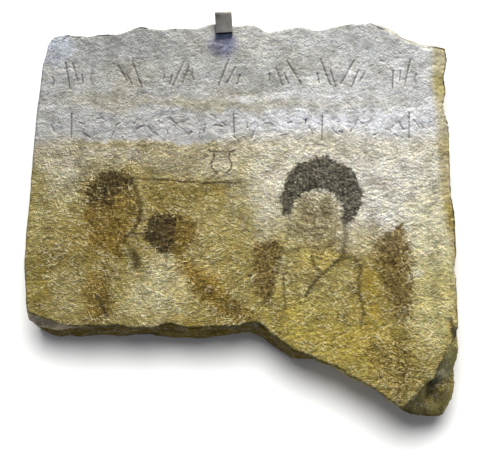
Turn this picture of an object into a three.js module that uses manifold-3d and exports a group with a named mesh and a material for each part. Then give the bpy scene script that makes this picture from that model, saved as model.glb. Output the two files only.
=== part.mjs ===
// A piece of a painted and inscribed stone stele, broken at the top, the right side and the foot.
// It lies on its back, with the steel clip that grips its top edge when it is shown on a wall.
// Millimetres. X runs across the face, Y up the face, and Z out of it; the back lies at Z = 0.

import * as THREE from "three";
import { SimplexNoise } from "three/addons/math/SimplexNoise.js";
import { mergeVertices } from "three/addons/utils/BufferGeometryUtils.js";
import Module from "manifold-3d";

const wasm = await Module();
wasm.setup();

// ---- Driving dimensions ----

const width = 400; // the slab at its widest
const height = 374; // from the highest break to the lowest tip
const thickness = 70;
const fit = 0.3; // gap between pieces that touch

const halfWidth = width / 2;
const halfHeight = height / 2;

// ---- The slab's outline, edge by edge, anticlockwise as seen on the face ----
// Points are parts of the half width and half height. "drawIn" is how far an edge has moved
// inwards by the time it reaches the back, and "rough" how uneven its surface is.

const edges = {
  foot: {
    points: [[-0.975, -0.52], [-0.93, -0.555], [-0.86, -0.572], [-0.5, -0.578], [-0.2, -0.583],
      [0.035, -0.566]],
    drawIn: 0,
    rough: 2.2,
  },
  step: {
    points: [[0.09, -0.585], [0.17, -0.634], [0.25, -0.688]],
    drawIn: -1,
    rough: 1.6,
  },
  slant: {
    points: [[0.34, -0.727], [0.45, -0.784], [0.555, -0.85], [0.66, -0.93], [0.73, -0.976], [0.9, -1.01]],
    drawIn: 11,
    rough: 2,
  },
  right: {
    points: [[0.945, -0.996], [0.98, -0.94], [0.995, -0.8], [1, -0.626], [1, -0.385], [0.995, 0.128],
      [0.99, 0.48], [0.97, 0.556], [0.985, 0.64], [0.97, 0.717], [0.99, 0.775]],
    drawIn: 5,
    rough: 1.8,
  },
  top: {
    points: [[1, 0.884], [0.9, 0.917], [0.785, 0.957], [0.75, 0.992], [0.71, 1.003], [0.595, 1.012],
      [0.44, 0.993], [0.365, 0.972], [0.29, 0.99], [0.175, 0.972], [0.135, 0.957], [0.095, 0.992],
      [0.06, 1.01], [-0.02, 0.996], [-0.135, 1.01], [-0.21, 0.985], [-0.365, 0.975], [-0.48, 0.987],
      [-0.595, 0.95], [-0.785, 0.937], [-0.865, 0.957], [-0.905, 0.953]],
    drawIn: 7,
    rough: 1.4,
  },
  left: {
    points: [[-0.935, 0.91], [-0.945, 0.802], [-0.965, 0.503], [-0.98, 0.171], [-0.995, -0.246],
      [-0.985, -0.4]],
    drawIn: 2,
    rough: 0.7,
  },
};

const stationStep = 7.5; // along the outline
const depths = [0, 1.8, 5, 10, 16, 24, 34, 45, 56, 65, thickness]; // rings, measured back from the face
const wornArris = 1.3; // what is worn off the corner round the face
const wornBack = 5; // and round the back

// Shallow flakes off the face's lower edge: where along X, how wide, how far in, and how far back.
const flakes = [
  { x: -62, halfWide: 15, inward: 5.5, back: 34 },
  { x: -112, halfWide: 12, inward: 3, back: 26 },
  { x: 14, halfWide: 14, inward: 5, back: 36 },
];

// Splits that took a corner or an edge off: a point on the new corner line of the face, the way
// the split falls (degrees from +X), how steeply it falls below the face, and its size.
const splits = [
  { name: "top left corner", at: [-177, 158], falls: 142, slope: 36, long: 110, rough: 0.7 },
  { name: "top right edge", at: [170, 165.5], falls: 63, slope: 52, long: 130, rough: 1.5 },
  { name: "right edge", at: [190, 12], falls: -1, slope: 48, long: 270, rough: 1.9 },
  { name: "lower right edge", at: [186, -125], falls: -23, slope: 47, long: 150, rough: 1.6 },
  { name: "lower right corner", at: [159, -165], falls: -48, slope: 44, long: 150, rough: 1.8 },
  { name: "right tip", at: [188, -172], falls: -36, slope: 74, long: 120, rough: 1.2 },
  { name: "lower left corner", at: [-170, -101], falls: -109, slope: 46, long: 120, rough: 1.4 },
  { name: "left tip", at: [-192, -94], falls: -140, slope: 68, long: 80, rough: 1 },
];
const splitHigh = 60; // how far a splitting block stands above its rough underside
const splitCell = 11; // grid of that underside

// Two rows of plain chisel strokes in place of the inscription, in groups along X. The strokes of a
// group stand side by side, a step apart, and all lean about the same way. They are not letters.
const strokeRows = [
  {
    groups: [-157, -105, -59, -9, 44, 81, 109, 152],
    each: 3, step: 7, level: 134, drop: 4, long: 27, shortest: 0.35, lean: 30, fan: 6, wide: 2.1, deep: 1.2,
  },
  {
    groups: [-174, -147, -118, -97, -82, -66, -50, -36, -18, 9, 44, 64, 92, 107, 124, 149, 169],
    each: 2, step: 5, level: 82, drop: 7, long: 8, shortest: 0.5, lean: 65, fan: 20, wide: 1.7, deep: 1.1,
  },
  {
    groups: [-159, -6, 77, 159],
    each: 1, step: 0, level: 84, drop: 1, long: 24, shortest: 1, lean: 3, fan: 0, wide: 1.7, deep: 1.1,
  },
];

const clip = { x: -16.3, top: 197.8, wide: 16, thick: 4, lip: 22, bend: 1.5, turn: 3.4 };
const clipBevel = 0.4;

// ---- Shared helpers ----

THREE.MathUtils.seededRandom(11);
const noise = new SimplexNoise({ random: () => THREE.MathUtils.seededRandom() });

// Uneven stone, from -1 to 1: broad waves of the given length with a finer one on them.
function unevenness(x, y, z, wave) {
  const broad = noise.noise3d(x / wave, y / wave, z / wave);
  const fine = noise.noise3d((3 * x) / wave, (3 * y) / wave, (3 * z) / wave);
  return 0.72 * broad + 0.28 * fine;
}

function toSolid(geometry) {
  const bare = geometry.index ? geometry.toNonIndexed() : geometry.clone();
  bare.deleteAttribute("normal");
  bare.deleteAttribute("uv");
  const merged = mergeVertices(bare, 1e-3);
  return new wasm.Manifold(
    new wasm.Mesh({
      numProp: 3,
      vertProperties: merged.attributes.position.array,
      triVerts: new Uint32Array(merged.index.array),
    }),
  );
}

function toGeometry(solid) {
  const mesh = solid.getMesh();
  const geometry = new THREE.BufferGeometry();
  geometry.setAttribute("position", new THREE.BufferAttribute(mesh.vertProperties, 3));
  geometry.setIndex(new THREE.BufferAttribute(mesh.triVerts, 1));
  geometry.computeVertexNormals();
  return geometry;
}

// ---- The broken slab ----

// Stations at an even step round the outline, each with its edge's draw-in and roughness.
function outlineStations() {
  const corners = Object.values(edges).flatMap((edge) =>
    edge.points.map(([x, y]) => ({
      at: new THREE.Vector2(x * halfWidth, y * halfHeight),
      drawIn: edge.drawIn,
      rough: edge.rough,
    })),
  );
  const stations = [];
  corners.forEach((corner, i) => {
    const next = corners[(i + 1) % corners.length];
    const pieces = Math.max(1, Math.round(corner.at.distanceTo(next.at) / stationStep));
    for (let k = 0; k < pieces; k++) {
      const t = k / pieces;
      stations.push({
        at: corner.at.clone().lerp(next.at, t),
        drawIn: THREE.MathUtils.lerp(corner.drawIn, next.drawIn, t),
        rough: THREE.MathUtils.lerp(corner.rough, next.rough, t),
      });
    }
  });
  const reach = 2; // neighbours on each side that give a station its outward direction
  stations.forEach((station, i) => {
    const before = stations[(i - reach + stations.length) % stations.length].at;
    const after = stations[(i + reach) % stations.length].at;
    station.outward = new THREE.Vector2(after.y - before.y, before.x - after.x).normalize();
  });
  return stations;
}

function flakeInset(station, depth) {
  if (station.at.y > -halfHeight / 2) return 0; // the flakes are all on the lower edge
  return flakes.reduce((sum, flake) => {
    const aside = Math.abs(station.at.x - flake.x) / flake.halfWide;
    if (aside >= 1 || depth >= flake.back) return sum;
    return sum + flake.inward * Math.cos((aside * Math.PI) / 2) ** 2 * (1 - depth / flake.back) ** 1.4;
  }, 0);
}

function ringPoint(station, depth) {
  const { x, y } = station.at;
  const backwards = depth / thickness;
  const worn = wornArris * Math.max(0, 1 - depth / depths[1]) ** 2;
  const wornBehind = wornBack * Math.max(0, 1 - (thickness - depth) / (2 * wornBack)) ** 2;
  const uneven = station.rough * unevenness(x, y, depth, 34) * Math.min(1, 0.5 + depth / 20);
  const move = uneven - station.drawIn * backwards - worn - wornBehind - flakeInset(station, depth);
  return [x + station.outward.x * move, y + station.outward.y * move, thickness - depth];
}

function slabGeometry() {
  const stations = outlineStations();
  const count = stations.length;
  const rings = depths.map((depth) => stations.map((station) => ringPoint(station, depth)));
  const index = [];
  for (let r = 0; r + 1 < rings.length; r++) {
    for (let i = 0; i < count; i++) {
      const j = (i + 1) % count;
      const [a, b, c, d] = [r * count + i, r * count + j, (r + 1) * count + j, (r + 1) * count + i];
      index.push(a, d, b, b, d, c);
    }
  }
  const flat = (ring) => ring.map(([x, y]) => new THREE.Vector2(x, y));
  const last = (rings.length - 1) * count;
  THREE.ShapeUtils.triangulateShape(flat(rings[0]), []).forEach(([a, b, c]) => index.push(a, b, c));
  THREE.ShapeUtils.triangulateShape(flat(rings.at(-1)), []).forEach(([a, b, c]) =>
    index.push(last + a, last + c, last + b),
  );
  const geometry = new THREE.BufferGeometry();
  geometry.setAttribute("position", new THREE.Float32BufferAttribute(rings.flat(2), 3));
  geometry.setIndex(index);
  return geometry;
}

// A block with a rough underside that passes through a line on the face and falls away from it.
function splittingBlock(split) {
  const wide = 110;
  const geometry = new THREE.BoxGeometry(
    wide, split.long, splitHigh, Math.round(wide / splitCell), Math.round(split.long / splitCell), 1,
  );
  geometry.translate(0, 0, splitHigh / 2);
  const position = geometry.attributes.position;
  for (let i = 0; i < position.count; i++) {
    if (position.getZ(i) > splitHigh / 2) continue;
    const [x, y] = [position.getX(i) + split.at[0], position.getY(i) + split.at[1]];
    position.setZ(i, split.rough * unevenness(x, y, split.long, 26));
  }
  const turn = new THREE.Matrix4()
    .makeTranslation(split.at[0], split.at[1], thickness)
    .multiply(new THREE.Matrix4().makeRotationZ(THREE.MathUtils.degToRad(split.falls)))
    .multiply(new THREE.Matrix4().makeRotationY(THREE.MathUtils.degToRad(split.slope)));
  return toSolid(geometry.applyMatrix4(turn));
}

// A chisel stroke: a four-sided bar with pointed ends, sunk edge down into the face.
function strokeCutter({ x, y, long, turn, wide, deep }) {
  const half = long / 2;
  const profile = [[0, -half], [1, wide - half], [1, half - wide], [0, half]];
  const geometry = new THREE.LatheGeometry(profile.map(([r, h]) => new THREE.Vector2(r, h)), 4);
  geometry.scale(wide / 2, 1, deep);
  geometry.rotateZ(THREE.MathUtils.degToRad(turn));
  geometry.translate(x, y, thickness);
  return toSolid(geometry);
}

// The strokes of a row. Their lengths take turns, and each group leans its own way.
function rowStrokes(row) {
  return row.groups.flatMap((middle, g) =>
    Array.from({ length: row.each }, (_, k) => {
      const shortening = ((g + k) % row.each) / Math.max(1, row.each - 1);
      return {
        ...row,
        x: middle + row.step * (k - (row.each - 1) / 2),
        y: row.level + row.drop * Math.sin(2.4 * g + 2.1 * k),
        long: row.long * THREE.MathUtils.lerp(1, row.shortest, shortening),
        turn: row.lean * Math.sin(1.7 * g + 0.4) + row.fan * Math.sin(g + 2.1 * k),
      };
    }),
  );
}

function makeStone() {
  let stone = toSolid(slabGeometry());
  for (const split of splits) stone = stone.subtract(splittingBlock(split));
  for (const stroke of strokeRows.flatMap(rowStrokes)) stone = stone.subtract(strokeCutter(stroke));
  const mesh = new THREE.Mesh(
    toGeometry(stone),
    new THREE.MeshStandardMaterial({ color: 0xb3ab8c, roughness: 0.92, metalness: 0 }),
  );
  mesh.name = "stone";
  return mesh;
}

// ---- The clip: a steel strip bent once, with its lip on the face and its end level with the back ----

function makeClip() {
  const front = thickness + fit; // the lip's inner side
  const outer = clip.bend + clip.thick;
  const shape = new THREE.Shape();
  // Drawn with the height above the back along X and the distance down from the clip's top along Y.
  shape.moveTo(0, 0);
  shape.lineTo(front + clip.thick - outer, 0);
  shape.absarc(front + clip.thick - outer, outer, outer, -Math.PI / 2, 0, false);
  shape.lineTo(front + clip.thick, clip.lip);
  shape.lineTo(front, clip.lip);
  shape.lineTo(front, outer);
  shape.absarc(front + clip.thick - outer, outer, clip.bend, 0, -Math.PI / 2, true);
  shape.lineTo(0, clip.thick);
  shape.closePath();
  const geometry = new THREE.ExtrudeGeometry(shape, {
    depth: clip.wide - 2 * clipBevel,
    curveSegments: 6,
    bevelThickness: clipBevel,
    bevelSize: clipBevel,
    bevelOffset: -clipBevel,
    bevelSegments: 1,
  });
  geometry.translate(0, 0, clipBevel - clip.wide / 2);
  // Height to +Z, distance down to -Y and the strip's width to X.
  geometry.applyMatrix4(
    new THREE.Matrix4().makeBasis(
      new THREE.Vector3(0, 0, 1),
      new THREE.Vector3(0, -1, 0),
      new THREE.Vector3(1, 0, 0),
    ),
  );
  const mesh = new THREE.Mesh(
    geometry,
    new THREE.MeshStandardMaterial({ color: 0x84847f, roughness: 0.45, metalness: 0.8 }),
  );
  mesh.name = "clip";
  mesh.rotation.z = THREE.MathUtils.degToRad(clip.turn);
  mesh.position.set(clip.x, clip.top, 0);
  return mesh;
}

// ---- The whole piece, centred over its own middle ----

const stele = new THREE.Group();
stele.add(makeStone(), makeClip());
const middle = new THREE.Box3().setFromObject(stele, true).getCenter(new THREE.Vector3());
stele.position.set(-middle.x, -middle.y, 0);

export default stele;
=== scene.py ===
import math

import bpy
import numpy as np
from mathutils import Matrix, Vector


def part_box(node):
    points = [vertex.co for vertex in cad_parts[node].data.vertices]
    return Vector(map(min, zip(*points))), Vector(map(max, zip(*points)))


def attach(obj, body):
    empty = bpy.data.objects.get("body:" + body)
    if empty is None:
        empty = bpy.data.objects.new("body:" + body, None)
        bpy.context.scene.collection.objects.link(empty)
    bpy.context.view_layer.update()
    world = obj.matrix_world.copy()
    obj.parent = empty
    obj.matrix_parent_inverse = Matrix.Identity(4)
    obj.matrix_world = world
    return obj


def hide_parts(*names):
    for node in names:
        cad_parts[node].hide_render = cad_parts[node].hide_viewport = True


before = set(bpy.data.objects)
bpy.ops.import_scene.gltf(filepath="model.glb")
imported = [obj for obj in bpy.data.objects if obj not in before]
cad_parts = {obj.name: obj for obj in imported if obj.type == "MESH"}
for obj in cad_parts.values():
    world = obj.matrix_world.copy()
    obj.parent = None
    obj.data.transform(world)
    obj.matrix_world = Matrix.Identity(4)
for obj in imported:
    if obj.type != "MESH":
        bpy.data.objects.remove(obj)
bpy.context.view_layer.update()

mm = 0.001
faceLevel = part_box("stone")[1][2]  # the plane of the carved face


def pickNothing():
    bpy.ops.object.select_all(action="DESELECT")


def pick(piece):
    pickNothing()
    piece.select_set(True)
    bpy.context.view_layer.objects.active = piece


def applyModifier(piece, kind, **settings):
    pick(piece)
    modifier = piece.modifiers.new(kind.lower(), kind)
    for name, value in settings.items():
        setattr(modifier, name, value)
    bpy.ops.object.modifier_apply(modifier=modifier.name)


def smooth(t):
    t = np.clip(t, 0, 1)
    return t * t * (3 - 2 * t)


def seen(red, green, blue):
    # the colour that looks like this one, of 255, under the lamps
    values = [v / 255 for v in (red, green, blue)]
    linear = [v / 12.92 if v <= 0.04045 else ((v + 0.055) / 1.055) ** 2.4 for v in values]
    return tuple(linear) + (1.0,)


# Uneven stone: smooth random values on a lattice, in finer and finer waves

lattice = np.random.default_rng(5).uniform(-1, 1, (32, 32, 32))


def unevenness(points, wave, octaves=3, shift=0.0):
    total = np.zeros(len(points))
    strength = 1.0
    full = 0.0
    for octave in range(octaves):
        p = points / wave * 2**octave + 5.7 * octave + shift
        cell = np.floor(p).astype(int)
        f = p - cell
        f = f * f * (3 - 2 * f)
        for corner in np.ndindex(2, 2, 2):
            share = np.prod(np.where(corner, f, 1 - f), axis=1)
            x, y, z = ((cell + corner) % len(lattice)).T
            total += strength * share * lattice[x, y, z]
        full += strength
        strength *= 0.5
    return total / full


# The rows of strokes that stand in place of the inscription, in mm on the face
# The straight ones are the solid's. Short curved ones are added between them.

strokeRows = [
    {"groups": (-157, -105, -59, -9, 44, 81, 109, 152), "each": 3, "step": 7, "level": 127, "drop": 4,
     "long": 27, "shortest": 0.35, "lean": 30, "fan": 6, "wide": 1.8, "deep": 0.8},
    {"groups": (-174, -147, -118, -97, -82, -66, -50, -36, -18, 9, 44, 64, 92, 107, 124, 149, 169),
     "each": 2, "step": 5, "level": 75, "drop": 7, "long": 8, "shortest": 0.5, "lean": 65, "fan": 20,
     "wide": 1.5, "deep": 0.75},
    {"groups": (-159, -6, 77, 159), "each": 1, "step": 0, "level": 77, "drop": 1, "long": 24,
     "shortest": 1, "lean": 3, "fan": 0, "wide": 1.6, "deep": 0.8},
]


def rowStrokes(row):
    strokes = []
    for g, middle in enumerate(row["groups"]):
        for k in range(row["each"]):
            share = ((g + k) % row["each"]) / max(1, row["each"] - 1)
            x = middle + row["step"] * (k - (row["each"] - 1) / 2)
            y = row["level"] + row["drop"] * math.sin(2.4 * g + 2.1 * k)
            half = row["long"] * (1 + (row["shortest"] - 1) * share) / 2
            turn = math.radians(row["lean"] * math.sin(1.7 * g + 0.4) + row["fan"] * math.sin(g + 2.1 * k))
            dx, dy = -half * math.sin(turn), half * math.cos(turn)
            ends = [(x - dx, y - dy), (x + dx, y + dy)]
            strokes.append({"points": ends, "wide": row["wide"], "deep": row["deep"]})
    return strokes


def arcPoints(x, y, radius, start, sweep, steps=7):
    angles = [math.radians(start + sweep * k / (steps - 1)) for k in range(steps)]
    return [(x + radius * math.cos(a), y + radius * math.sin(a)) for a in angles]


curvedStrokes = [
    # x, y, radius, start, sweep
    (-131, 124, 11, 150, 60), (-82, 128, 10, -30, 65), (-34, 130, 12, 160, 55), (17, 126, 11, -25, 60),
    (131, 130, 13, 10, 70), (-186, 120, 9, -20, 60), (176, 124, 10, 150, 60),
    (-132, 80, 5, 20, 100), (-107, 67, 4, 190, 90), (-74, 84, 4, 200, 90), (-27, 84, 4, 10, 90),
    (26, 74, 6, 30, 100), (54, 68, 4, 200, 90), (116, 84, 4, 190, 90), (138, 70, 4, 20, 90),
]

strokes = [stroke for row in strokeRows for stroke in rowStrokes(row)]
strokes += [
    {"points": arcPoints(x, y, radius, start, sweep), "wide": 1.5, "deep": 0.6}
    for x, y, radius, start, sweep in curvedStrokes
]


# The painting: three half-length figures, a chair and a little vase on a shelf, in mm on the face
# Areas are (corners, softness, strength). Lines are (points, width, softness, strength).
# The figures and their faces are plain and general.

paintAreas = {
    "hair": [
        ([(38, -7), (37, 6), (39, 18), (45, 31), (56, 40), (69, 45), (82, 46), (94, 42), (103, 35),
          (110, 26), (114, 13), (113, 1), (109, -9), (101, -18), (95, -17), (94, 0), (88, 10), (79, 15),
          (69, 16), (59, 12), (52, 7), (48, -2), (46, -8)], 4.5, 1.05),
    ],
    "umber": [
        ([(-84, -13), (-76, -7), (-66, -6), (-58, -12), (-60, -24), (-63, -36), (-65, -46), (-71, -45),
          (-78, -40), (-86, -31), (-88, -21)], 5, 1.05),
        ([(-146, 22), (-132, 33), (-114, 34), (-99, 30), (-100, 20), (-110, 12), (-114, 2), (-124, -5),
          (-140, 0), (-147, 10)], 11, 0.7),
        ([(-134, 27), (-116, 31), (-106, 25), (-112, 14), (-126, 8)], 7, 1.0),
    ],
    "flesh": [
        ([(-140, 4), (-124, 12), (-108, 18), (-96, 12), (-93, -4), (-99, -20), (-106, -34), (-108, -50),
          (-124, -48), (-138, -34), (-146, -12)], 8, 0.85),
        ([(-142, -62), (-124, -60), (-119, -80), (-118, -106), (-138, -106), (-145, -84)], 6, 0.75),
        ([(-64, -9), (-51, -8), (-43, -13), (-40, -24), (-43, -34), (-49, -40), (-51, -50), (-65, -47),
          (-66, -30)], 4, 0.92),
        ([(-62, -46), (-48, -48), (-32, -63), (-16, -79), (0, -92), (10, -97), (6, -107), (-14, -105),
          (-36, -92), (-50, -72)], 7, 0.62),
        ([(-138, -42), (-112, -44), (-116, -68), (-140, -68)], 9, 0.35),
    ],
    "brown": [
        ([(12, -34), (40, -34), (36, -48), (32, -62), (28, -80), (21, -94), (13, -82), (11, -60)], 4, 1.0),
        ([(121, -36), (133, -28), (143, -19), (152, -16), (153, -28), (156, -44), (159, -60), (160, -78),
          (157, -96), (151, -106), (140, -102), (134, -86), (129, -68), (124, -52)], 7, 0.82),
        ([(110, -130), (128, -122), (150, -122), (160, -150), (152, -176), (130, -168), (116, -150)],
         12, 0.5),
        ([(134, -126), (148, -124), (156, -140), (158, -166), (146, -178), (132, -166)], 9, 0.6),
        ([(-18, -97), (0, -94), (12, -102), (2, -110), (-14, -107)], 6, 0.5),
        ([(-182, -40), (-162, -42), (-160, -62), (-182, -60)], 8, 0.4),
        ([(-100, 21), (-70, 19), (-30, 17), (-6, 20), (-6, 12), (-60, 8), (-98, 10)], 6, 0.3),
    ],
    "shade": [
        ([(48, -2), (58, 12), (76, 16), (90, 8), (96, -10), (94, -32), (84, -46), (70, -50), (57, -42),
          (48, -24)], 9, 0.62),
        ([(62, -30), (92, -28), (92, -42), (78, -46), (66, -42)], 8, 0.5),
        ([(45, -62), (62, -58), (88, -66), (104, -74), (104, -110), (60, -112), (44, -96)], 9, 0.3),
    ],
}

paintLines = [
    # the left figure
    ([(-128, 31), (-114, 29), (-101, 22), (-94, 8), (-92, -4), (-94, -14), (-99, -24), (-107, -30)],
     3.2, 2, 0.9),
    ([(-108, -31), (-103, -37), (-99, -44)], 2.2, 1.4, 0.8),
    ([(-99, -44), (-95, -50), (-95, -56)], 7.5, 3, 0.95),
    ([(-130, -84), (-126, -92), (-121, -102)], 3, 2, 0.85),
    # the shelf and the vase
    ([(-102, 26), (-80, 25.5), (-55, 23), (-35, 22), (-20, 23), (0, 22)], 1.8, 1.0, 1.0),
    ([(-30, 54), (-28, 52), (-18, 52.5), (-8, 52), (-5, 54)], 1.5, 0.6, 1.0),
    ([(-25, 51), (-24, 47), (-27, 41), (-26, 36), (-22, 32)], 1.5, 0.6, 1.0),
    ([(-10, 51), (-11, 47), (-8, 41), (-9, 36), (-13, 32)], 1.5, 0.6, 1.0),
    # the middle figure
    ([(-106, -29), (-97, -26), (-84, -25)], 1.8, 1.0, 0.95),
    ([(-40, -66), (-30, -78), (-18, -90), (-4, -98)], 3, 2.5, 0.4),
    # the right figure
    ([(95, -12), (97, -26), (96, -40), (93, -50)], 4.5, 2.2, 0.75),
    ([(46, -8), (45, -22), (43, -34)], 2.5, 1.6, 0.5),
    ([(65, -47), (68, -57), (76, -64)], 2.6, 1.1, 0.9),
    ([(92, -50), (84, -57), (74, -65), (66, -74), (60, -84)], 3, 1.3, 0.9),
    ([(38, -40), (36, -52), (31, -68), (25, -86)], 3.2, 1.8, 0.6),
    ([(95, -47), (104, -51), (112, -58)], 2, 1.4, 0.65),
    ([(36, -46), (46, -42), (57, -40)], 2, 1.4, 0.55),
    ([(40, -66), (40, -80), (41, -97)], 2.2, 1.2, 0.8),
    ([(106, -50), (111, -60), (107, -70), (109, -84), (112, -98), (109, -112)], 2.4, 1.3, 0.8),
    # plain faces: brows, lids, nose and mouth in even thirds
    ([(57, -3), (62, -1.5), (67, -3)], 1.8, 0.8, 0.75), ([(75, -3), (80, -1.5), (85, -3)], 1.8, 0.8, 0.75),
    ([(58, -8), (62, -7), (66, -8)], 2.4, 0.9, 0.85), ([(76, -8), (80, -7), (84, -8)], 2.4, 0.9, 0.85),
    ([(70, -6), (68.5, -17), (68, -20.5), (73, -21)], 1.5, 0.9, 0.6),
    ([(65, -27), (71, -26.5), (77, -27)], 2.0, 0.9, 0.8), ([(67, -31), (75, -31)], 2.0, 1.2, 0.45),
    ([(56, -34), (63, -39), (71, -41), (80, -39), (87, -33)], 2.4, 1.8, 0.45),
    ([(-106, -2), (-98, -1)], 1.7, 0.8, 0.6), ([(-105, -6.5), (-99, -6.5)], 2.0, 0.8, 0.7),
    ([(-102, -19), (-97, -19)], 1.7, 0.8, 0.6),
    ([(-50, -16.5), (-45, -16)], 1.3, 0.7, 0.7), ([(-49, -20), (-45, -20)], 1.5, 0.7, 0.75),
    ([(-48, -30), (-44, -30)], 1.3, 0.7, 0.65),
]

# dark cracks across the lower right chip, as lines
chipCracks = [
    ([(196, -119), (186, -133), (180, -150), (171, -168), (167, -178)], 1.5, 1.1, 0.85),
    ([(179, -152), (187, -149), (196, -151)], 1.2, 0.8, 0.85),
    ([(170, -168), (180, -163), (192, -160)], 1.6, 0.9, 0.95),
    ([(176, -178), (184, -171), (190, -172)], 1.2, 1.2, 0.5),
]


# Measuring on the face

def farFromPath(x, y, points):
    nearest = np.full(x.shape, 1e9)
    for (ax, ay), (bx, by) in zip(points[:-1], points[1:]):
        dx, dy = bx - ax, by - ay
        t = np.clip(((x - ax) * dx + (y - ay) * dy) / (dx * dx + dy * dy), 0, 1)
        nearest = np.minimum(nearest, np.hypot(x - ax - t * dx, y - ay - t * dy))
    return nearest


def oval(x, y, cx, cy, rx, ry, turn=0.0, soft=0.2):
    c, s = math.cos(math.radians(turn)), math.sin(math.radians(turn))
    u, v = (x - cx) * c + (y - cy) * s, (y - cy) * c - (x - cx) * s
    return smooth((1 + soft - np.hypot(u / rx, v / ry)) / (2 * soft))


def band(x, y, points, width, soft):
    return smooth((width / 2 + soft - farFromPath(x, y, points)) / (2 * soft))


def patch(x, y, points, soft):
    # the area inside a closed outline, soft at its edge
    closed = points + points[:1]
    within = np.zeros(x.shape, bool)
    for (ax, ay), (bx, by) in zip(closed[:-1], closed[1:]):
        crosses = (ay > y) != (by > y)
        slope = (bx - ax) / ((by - ay) or 1e-9)
        within ^= crosses & (x < ax + (y - ay) * slope)
    far = farFromPath(x, y, closed)
    return smooth(0.5 + np.where(within, far, -far) / (2 * soft))


# Tooling: short chisel strokes all over the face, which lean with the patch they are in

tooling = {
    "cell": 0.5,  # mm
    "patches": [
        # x, y, reach, lean in degrees from +X
        (-120, 140, 70, -3), (0, 140, 70, 2), (120, 130, 70, -2), (-100, 85, 50, 4), (60, 85, 70, -4),
        (165, 90, 35, 12), (-160, 30, 40, -30), (-120, -10, 38, -38), (-165, -60, 34, 8),
        (-120, -70, 34, -28), (-70, -60, 26, 38), (-60, 30, 34, 18), (-100, 50, 24, -34), (-20, -10, 34, -12),
        (-20, -70, 30, 24), (30, 20, 26, -18), (75, -25, 30, -16), (75, -85, 34, 6), (150, 20, 40, 3),
        (160, -60, 40, -7), (120, -120, 36, 4), (140, -165, 30, 22), (10, -95, 22, 40), (70, 40, 30, 12),
    ],
    "long": (5, 12),
    "wide": (0.9, 1.4),
    "deep": (0.04, 0.22),
    "wander": 22,  # degrees
    "margin": 3,
    "count": 13000,
    "seed": 21,
}
reachX, reachY = 208, 200  # half of the field that the marks are drawn on, a little past the slab


def toolLean(x, y):
    c, s = np.zeros(np.shape(x)), np.zeros(np.shape(x))
    for px, py, reach, lean in tooling["patches"]:
        pull = np.exp(-((x - px) ** 2 + (y - py) ** 2) / (0.7 * reach) ** 2) + 1e-9
        c = c + pull * math.cos(math.radians(2 * lean))
        s = s + pull * math.sin(math.radians(2 * lean))
    return np.arctan2(s, c) / 2


def toolMarks():
    cell = tooling["cell"]
    across, up = int(2 * reachX / cell), int(2 * reachY / cell)
    relief = np.zeros((up, across))
    rng = np.random.default_rng(tooling["seed"])
    count = tooling["count"]
    x, y = rng.uniform(-reachX, reachX, count), rng.uniform(-reachY, reachY, count)
    lean = toolLean(x, y) + np.radians(rng.normal(0, tooling["wander"], count))
    half = rng.uniform(*tooling["long"], count) / 2
    wide = rng.uniform(*tooling["wide"], count)
    deep = rng.uniform(*tooling["deep"], count)
    for k in range(count):
        reach = half[k] + tooling["margin"]
        i0, i1 = (max(0, int((x[k] - reach + reachX) / cell)), int((x[k] + reach + reachX) / cell) + 1)
        j0, j1 = (max(0, int((y[k] - reach + reachY) / cell)), int((y[k] + reach + reachY) / cell) + 1)
        window = relief[j0:j1, i0:i1]
        gx = (np.arange(i0, i0 + window.shape[1]) + 0.5) * cell - reachX - x[k]
        gy = ((np.arange(j0, j0 + window.shape[0]) + 0.5) * cell - reachY - y[k])[:, None]
        c, s = math.cos(lean[k]), math.sin(lean[k])
        u, v = (gx * c + gy * s) / half[k], (gy * c - gx * s) / wide[k]
        ends = np.clip(1 - u**4, 0, None)
        furrow = np.exp(-v * v)
        burr = 0.55 * np.exp(-(v + 1.9) ** 2)  # the ridge thrown up on one side
        window -= deep[k] * ends * (furrow - burr)
    return relief


def sample(field, x, y):
    # the field's height at these places, between its nearest cells
    cell = tooling["cell"]
    u, v = (x + reachX) / cell - 0.5, (y + reachY) / cell - 0.5
    i = np.clip(np.floor(u).astype(int), 0, field.shape[1] - 2)
    j = np.clip(np.floor(v).astype(int), 0, field.shape[0] - 2)
    a, b = np.clip(u - i, 0, 1), np.clip(v - j, 0, 1)
    low = field[j, i] * (1 - a) + field[j, i + 1] * a
    high = field[j + 1, i] * (1 - a) + field[j + 1, i + 1] * a
    return low * (1 - b) + high * b


def blurred(field, cells):
    kernel = np.ones(cells) / cells
    for axis in (0, 1):
        field = np.apply_along_axis(lambda row: np.convolve(row, kernel, mode="same"), axis, field)
    return field


# The stone: a fine copy of the CAD solid, carved and weathered

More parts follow.
